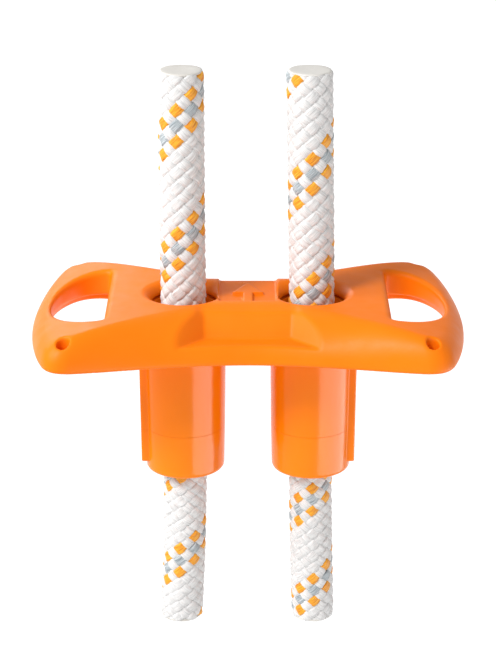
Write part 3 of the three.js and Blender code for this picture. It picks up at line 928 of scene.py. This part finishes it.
BUSH = ((6.9, -15.7), (8.6, -15.7), (8.6, -4.8), (11, -4.8), (11, -3.5), (7.7, -3.5), (7.2, -6.0))
BUSH += ((6.3, -9.5), (5.9, -11.9), (5.9, -14.7))
CUP = ((7.75, -30.6), (8.6, -30.6), (8.6, -16), (7.05, -16))
PUSHER = ((5.95, -32.2), (7.45, -32.2), (7.45, -29.7), (5.95, -29.7))
JAW = {"top": -17.5, "low": -29.4, "bore": 5.75, "grooves": 8, "depth": 0.3, "half": 52}
SPRING = {"mean": 6.95, "wire": 0.42, "turns": 4.5, "top": -32.6, "low": -42.8}


def jaw_outline():
    """A wedge's section: the cup's slope outside and gripping grooves along the bore."""
    top, low = JAW["top"], JAW["low"]
    slope = (7.75 - 7.05) / (30.6 - 16)
    outside = [(7.05 + slope * (-16 - z) - 0.3, z, 0.15) for z in (low, top)]
    pitch = (top - low) / JAW["grooves"]
    teeth = []
    for k in reversed(range(JAW["grooves"])):
        foot = low + k * pitch
        for r, share in ((JAW["bore"], 0.9), (JAW["bore"] + JAW["depth"], 0.6), (JAW["bore"], 0.25)):
            teeth.append((r, foot + pitch * share, 0.05))
    return [(JAW["bore"], low, 0.1), *outside, (JAW["bore"], top, 0.1), *teeth]


def jaw(name, side, number):
    profile = rounded(jaw_outline(), 0.1, 3)
    middle = (0 if side > 0 else math.pi) + (number - 1) * TURN / 3
    half = math.radians(JAW["half"])
    angle = middle + np.linspace(-half, half, 28)
    count = len(profile)
    rings = np.stack(
        [
            side * ROPE_X + np.cos(angle)[:, None] * profile[:, 0],
            np.sin(angle)[:, None] * profile[:, 0],
            np.repeat(profile[None, :, 1], len(angle), axis=0),
        ],
        axis=-1,
    )
    last = (len(angle) - 1) * count
    faces = [list(q[::-1]) for q in ring_faces(len(angle), count)]
    faces += [list(range(count)), list(range(last, last + count))[::-1]]
    piece = mesh_object(f"wedge_{name}_{number}", rings.reshape(-1, 3), faces)
    settle(piece, f"jaw_body_{name}_{number}", "jaw_steel", JAW_STEEL, f"jaw_{name}_{number}")


def spring(name, side):
    """A round-wire spring with its ends laid flat on the ring and on the nose cap's floor."""
    low, top = SPRING["low"] + SPRING["wire"], SPRING["top"] - SPRING["wire"]
    t = np.linspace(0, 1, int(SPRING["turns"] * 40) + 1)
    rise = np.clip((t - 0.08) / 0.84, 0, 1)
    angle = t * SPRING["turns"] * TURN
    line = np.stack(
        [SPRING["mean"] * np.cos(angle), SPRING["mean"] * np.sin(angle), low + (top - low) * rise], axis=-1
    )
    out = np.stack([np.cos(angle), np.sin(angle), np.zeros_like(angle)], axis=-1)
    along = unit(np.gradient(line, axis=0))
    up = unit(np.cross(along, out))
    around = np.arange(14) * TURN / 14
    rings = line[:, None] + SPRING["wire"] * (
        np.cos(around)[None, :, None] * out[:, None] + np.sin(around)[None, :, None] * up[:, None]
    )
    last = (len(t) - 1) * 14
    faces = [list(q) for q in ring_faces(len(t), 14)]
    faces += [list(range(14))[::-1], list(range(last, last + 14))]
    piece = mesh_object(f"coil_{name}", rings.reshape(-1, 3) + (side * ROPE_X, 0, 0), faces)
    settle(piece, "housing", "spring_steel", SPRING_STEEL, f"spring_{name}")
    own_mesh(piece)


def grip(name, side):
    x = side * ROPE_X
    bush = turned(f"rope_guide_{name}", BUSH, x, 0.15)
    settle(bush, "housing", "sleeve_plastic", SLEEVE_ORANGE, f"guide_bush_{name}")
    cup = turned(f"wedge_cup_{name}", CUP, x, 0.2)
    settle(cup, "housing", "cup_steel", CUP_STEEL, f"taper_cup_{name}")
    ring = turned(f"thrust_ring_{name}", PUSHER, x, 0.25)
    settle(ring, f"pusher_body_{name}", "cup_steel", CUP_STEEL, f"pusher_ring_{name}")
    for number in (1, 2, 3):
        jaw(name, side, number)
    spring(name, side)


# Light and floor

FLOOR_Z = -700


def area_light(name, place, size, power, tall=None, diffuse=True):
    data = bpy.data.lights.new(name, "AREA")
    data.energy = power
    data.shape = "RECTANGLE"
    data.size = size
    data.size_y = tall or size
    lamp = bpy.data.objects.new(name, data)
    lamp.location = place
    aim = np.array([0, 0, -0.01]) - np.array(place)
    yaw = math.atan2(aim[1], aim[0])
    pitch = math.atan2(math.hypot(aim[0], aim[1]), -aim[2])
    lamp.rotation_euler = (pitch, 0, yaw - math.pi / 2)
    lamp.visible_camera = False
    lamp.visible_diffuse = diffuse
    bpy.context.scene.collection.objects.link(lamp)
    return lamp


def sun(name, place, strength, spread):
    data = bpy.data.lights.new(name, "SUN")
    data.energy = strength
    data.angle = math.radians(spread)
    lamp = bpy.data.objects.new(name, data)
    aim = -np.array(place, dtype=float)
    yaw = math.atan2(aim[1], aim[0])
    pitch = math.atan2(math.hypot(aim[0], aim[1]), -aim[2])
    lamp.rotation_euler = (pitch, 0, yaw - math.pi / 2)
    bpy.context.scene.collection.objects.link(lamp)


def studio():
    world = bpy.data.worlds.new("studio")
    world.use_nodes = True
    background = world.node_tree.nodes["Background"]
    background.inputs["Color"].default_value = (1, 1, 1, 1)
    background.inputs["Strength"].default_value = 0.5
    bpy.context.scene.world = world
    bpy.context.scene.view_settings.view_transform = "Standard"
    sun("key", (-0.75, -0.7, 1.0), 2.2, 16)
    area_light("left_fill", (-0.24, -0.06, 0.14), 0.12, 0.35)
    area_light("deck_sheen", (-0.4, 0.7, 0.32), 0.7, 2.0, 0.3, diffuse=False)
    area_light("sleeve_band", (0.41, -0.18, -0.235), 0.8, 4.5, 0.3, diffuse=False)


def floor():
    """A wide pale disc well below the ropes' ends."""
    material = new_material("pale_floor", Roughness=0.9, Emission_Strength=0.25)
    material.node_tree.nodes["Principled BSDF"].inputs["Emission Color"].default_value = (1, 1, 1, 1)
    tone = place_noise(material, 0.6, 2)
    pale = (0.2, (0.93, 0.93, 0.93)), (0.8, (0.95, 0.95, 0.95))
    to_shader(material, "Base Color", colour_ramp(material, tone, *pale))
    angle = np.arange(64) * TURN / 64
    ring = np.stack([np.cos(angle), np.sin(angle), 0 * angle], axis=-1)
    rings = [ring * r + (0, 0, FLOOR_Z) for r in (30000, 800, 20)]
    ground = mesh_object("floor", np.concatenate(rings), [*ring_faces(3, 64), list(range(128, 192))])
    ground.data.materials.append(material)


camera()
for side_name, side_sign in SIDES:
    rope(side_name, side_sign)
yoke()
bottom_cover()
cover_screws()
sleeves()
nose_caps()
for side_name, side_sign in SIDES:
    grip(side_name, side_sign)
floor()
studio()
